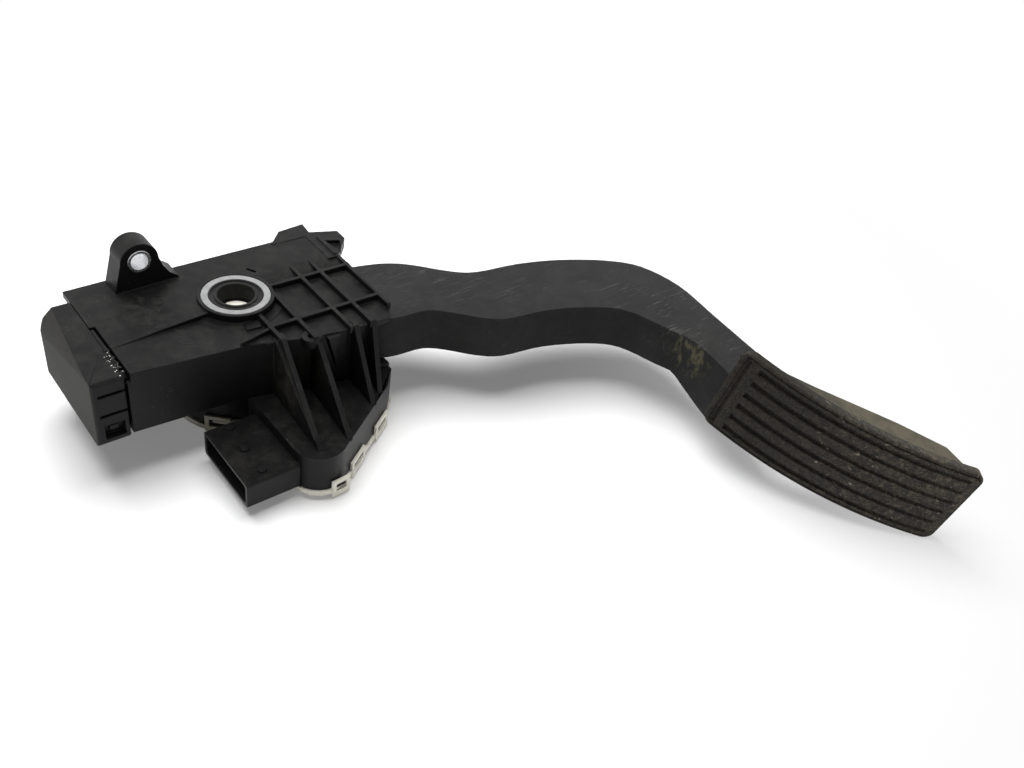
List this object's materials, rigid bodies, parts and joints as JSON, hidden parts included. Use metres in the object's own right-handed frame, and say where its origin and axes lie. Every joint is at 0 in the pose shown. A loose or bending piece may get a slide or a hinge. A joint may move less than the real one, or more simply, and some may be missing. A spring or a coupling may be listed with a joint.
{
  "type": "accelerator pedal module",
  "caption": "Sprung accelerator pedal: ribbed black housing with sensor tray, socket and steel-sleeved ears, S-curved arm and grooved rubber foot pad.",
  "frame": {"origin": "on the pivot axis, level with the top of the light bearing ring", "axes": "+Z along the pivot axis, +X from the housing toward the arm, +Y toward the mounting side; at rest the module lies on the sensor cover and the pad's lower far corner"},
  "size_m": [0.2715, 0.2593, 0.0681],
  "materials": {
    "nylon": "satin",
    "arm_nylon": "satin",
    "rubber": "matte",
    "black_rubber": "matte",
    "cream": "satin",
    "bush": "satin",
    "steel": "satin",
    "magnet": "matte",
    "board": "satin",
    "chips": "matte",
    "contact": "satin"
  },
  "bodies": {
    "housing": {"housing": "nylon", "end_cap": "nylon", "mount_sleeves": "steel", "upper_bush": "bush", "lower_bush": "bush", "circuit_board": "board", "board_parts": "chips", "contact_pins": "contact", "sensor_cover": "cream", "cover_seal": "black_rubber", "rotor_seal": "black_rubber", "thrust_washer": "bush", "outer_spring": "steel", "inner_spring": "steel", "idle_bumper": "black_rubber", "full_stop_bumper": "black_rubber"},
    "pedal": {"pedal_arm": "arm_nylon", "pad_cover": "rubber", "hub_collar": "nylon", "sensor_rotor": "cream", "sensor_magnet": "magnet"},
    "shoe": {"friction_shoe": "bush"}
  },
  "joints": [
    {"name": "pedal_pivot", "type": "hinge", "parent": "housing", "child": "pedal", "pos_m": [0, 0, 0], "axis": [0, 0, 1], "range_deg": [0, 16], "stiffness_Nm_per_rad": 2, "springref_deg": -68.75},
    {"name": "shoe_slide", "type": "slide", "parent": "housing", "child": "shoe", "axis": [-1, 0, 0], "range_m": [0, 0.0041], "stiffness_N_per_m": 300, "springref_m": -0.02, "deforming": ["outer_spring", "inner_spring"]}
  ],
  "couplings": [
    {"joint": "shoe_slide", "follows": "pedal_pivot", "m_per_rad": 0.0142}
  ]
}
